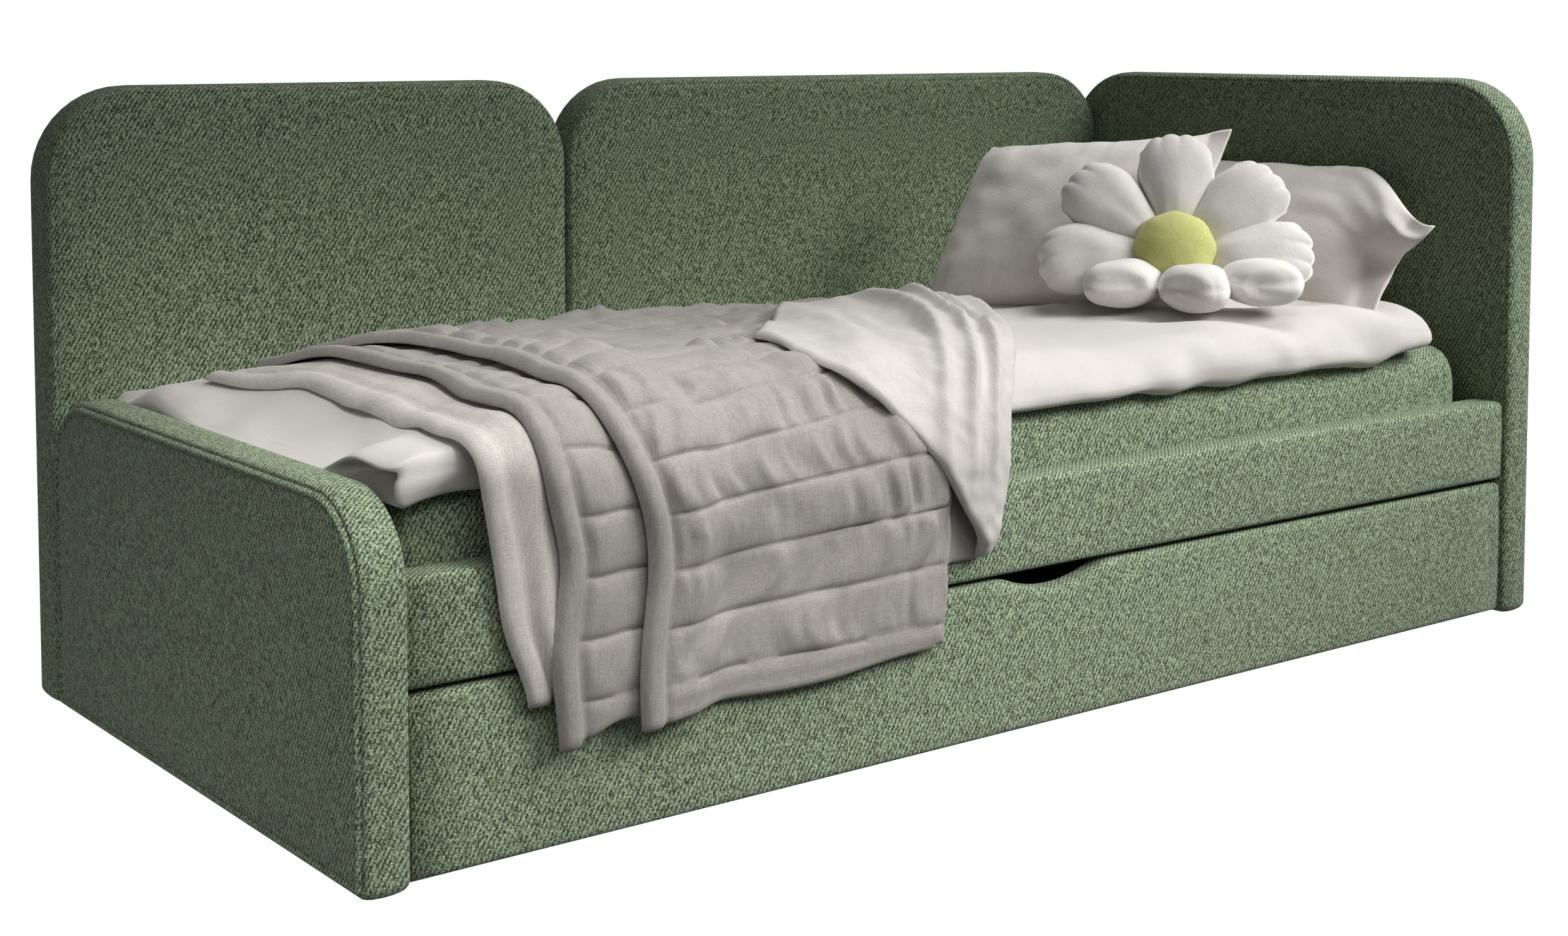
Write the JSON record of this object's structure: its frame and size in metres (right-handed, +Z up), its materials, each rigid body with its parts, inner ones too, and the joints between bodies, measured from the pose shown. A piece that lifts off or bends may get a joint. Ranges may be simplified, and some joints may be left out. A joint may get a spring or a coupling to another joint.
{
  "type": "upholstered toddler bed",
  "caption": "Upholstered junior daybed with padded end and back panels, slatted base, rolling drawer with a hand scoop, mattress and bedding.",
  "frame": {"origin": "on the floor at the centre of the whole outline", "axes": "+X from the foot to the head, -Y to the front, +Z up"},
  "size_m": [1.95, 0.96, 0.807],
  "materials": {
    "upholstery": "sage green melange twill, slightly coarse",
    "panel_board": "raw chipboard",
    "slat_wood": "planed birch",
    "drawer_board": "pale laminated board",
    "bracket_steel": "satin black powder coat",
    "zinc_fasteners": "zinc plated",
    "black_plastic": "moulded nylon",
    "duvet_cotton": "washed cream cotton",
    "blanket_linen": "light grey-beige washed linen",
    "quilt_linen": "grey-beige quilted linen",
    "pillow_linen": "light grey-beige washed linen",
    "petal_linen": "cream linen",
    "daisy_yellow": "yellow-green linen"
  },
  "bodies": {
    "bed_frame": {"back_bolts": "zinc_fasteners", "back_left_board": "panel_board", "back_left_cover": "upholstery", "back_right_board": "panel_board", "back_right_cover": "upholstery", "bearer_front": "slat_wood", "bearer_rear": "slat_wood", "blanket_drop": "blanket_linen", "blanket_flap": "blanket_linen", "blanket_side": "blanket_linen", "blanket_top": "blanket_linen", "bracket_bolts": "zinc_fasteners", "bracket_screws": "zinc_fasteners", "corner_brackets": "bracket_steel", "daisy_centre": "daisy_yellow", "daisy_petals": "petal_linen", "duvet": "duvet_cotton", "footboard_board": "panel_board", "footboard_cover": "upholstery", "front_rail_board": "panel_board", "front_rail_cover": "upholstery", "headboard_board": "panel_board", "headboard_cover": "upholstery", "mattress": "upholstery", "panel_glides": "black_plastic", "pillow_front": "pillow_linen", "pillow_rear": "pillow_linen", "quilt_drop": "quilt_linen", "quilt_side": "quilt_linen", "quilt_top": "quilt_linen", "rear_rail": "panel_board", "slat_01": "slat_wood", "slat_02": "slat_wood", "slat_03": "slat_wood", "slat_04": "slat_wood", "slat_05": "slat_wood", "slat_06": "slat_wood", "slat_07": "slat_wood", "slat_08": "slat_wood", "slat_09": "slat_wood", "slat_10": "slat_wood", "slat_11": "slat_wood", "slat_12": "slat_wood"},
    "drawer": {"drawer_back": "drawer_board", "drawer_base": "drawer_board", "drawer_box_front": "drawer_board", "drawer_divider": "drawer_board", "drawer_front_board": "panel_board", "drawer_front_cover": "upholstery", "drawer_screws": "zinc_fasteners", "drawer_side_left": "drawer_board", "drawer_side_right": "drawer_board", "castor_brackets": "bracket_steel", "castor_axles": "zinc_fasteners"},
    "castor_front_left": {"castor_wheel_1": "black_plastic"},
    "castor_rear_left": {"castor_wheel_2": "black_plastic"},
    "castor_front_right": {"castor_wheel_3": "black_plastic"},
    "castor_rear_right": {"castor_wheel_4": "black_plastic"}
  },
  "joints": [
    {"name": "drawer_slide", "type": "slide", "parent": "bed_frame", "child": "drawer", "axis": [0, -1, 0], "range_m": [0, 0.6], "deforming": ["quilt_drop", "blanket_drop"]},
    {"name": "castor_front_left_spin", "type": "hinge", "parent": "drawer", "child": "castor_front_left", "pos_m": [-0.8, -0.34, 0.02], "axis": [1, 0, 0], "continuous": true},
    {"name": "castor_rear_left_spin", "type": "hinge", "parent": "drawer", "child": "castor_rear_left", "pos_m": [-0.8, 0.29, 0.02], "axis": [1, 0, 0], "continuous": true},
    {"name": "castor_front_right_spin", "type": "hinge", "parent": "drawer", "child": "castor_front_right", "pos_m": [0.8, -0.34, 0.02], "axis": [1, 0, 0], "continuous": true},
    {"name": "castor_rear_right_spin", "type": "hinge", "parent": "drawer", "child": "castor_rear_right", "pos_m": [0.8, 0.29, 0.02], "axis": [1, 0, 0], "continuous": true}
  ],
  "couplings": [
    {"joint": "castor_front_left_spin", "follows": "drawer_slide", "rad_per_m": 50},
    {"joint": "castor_rear_left_spin", "follows": "drawer_slide", "rad_per_m": 50},
    {"joint": "castor_front_right_spin", "follows": "drawer_slide", "rad_per_m": 50},
    {"joint": "castor_rear_right_spin", "follows": "drawer_slide", "rad_per_m": 50}
  ]
}
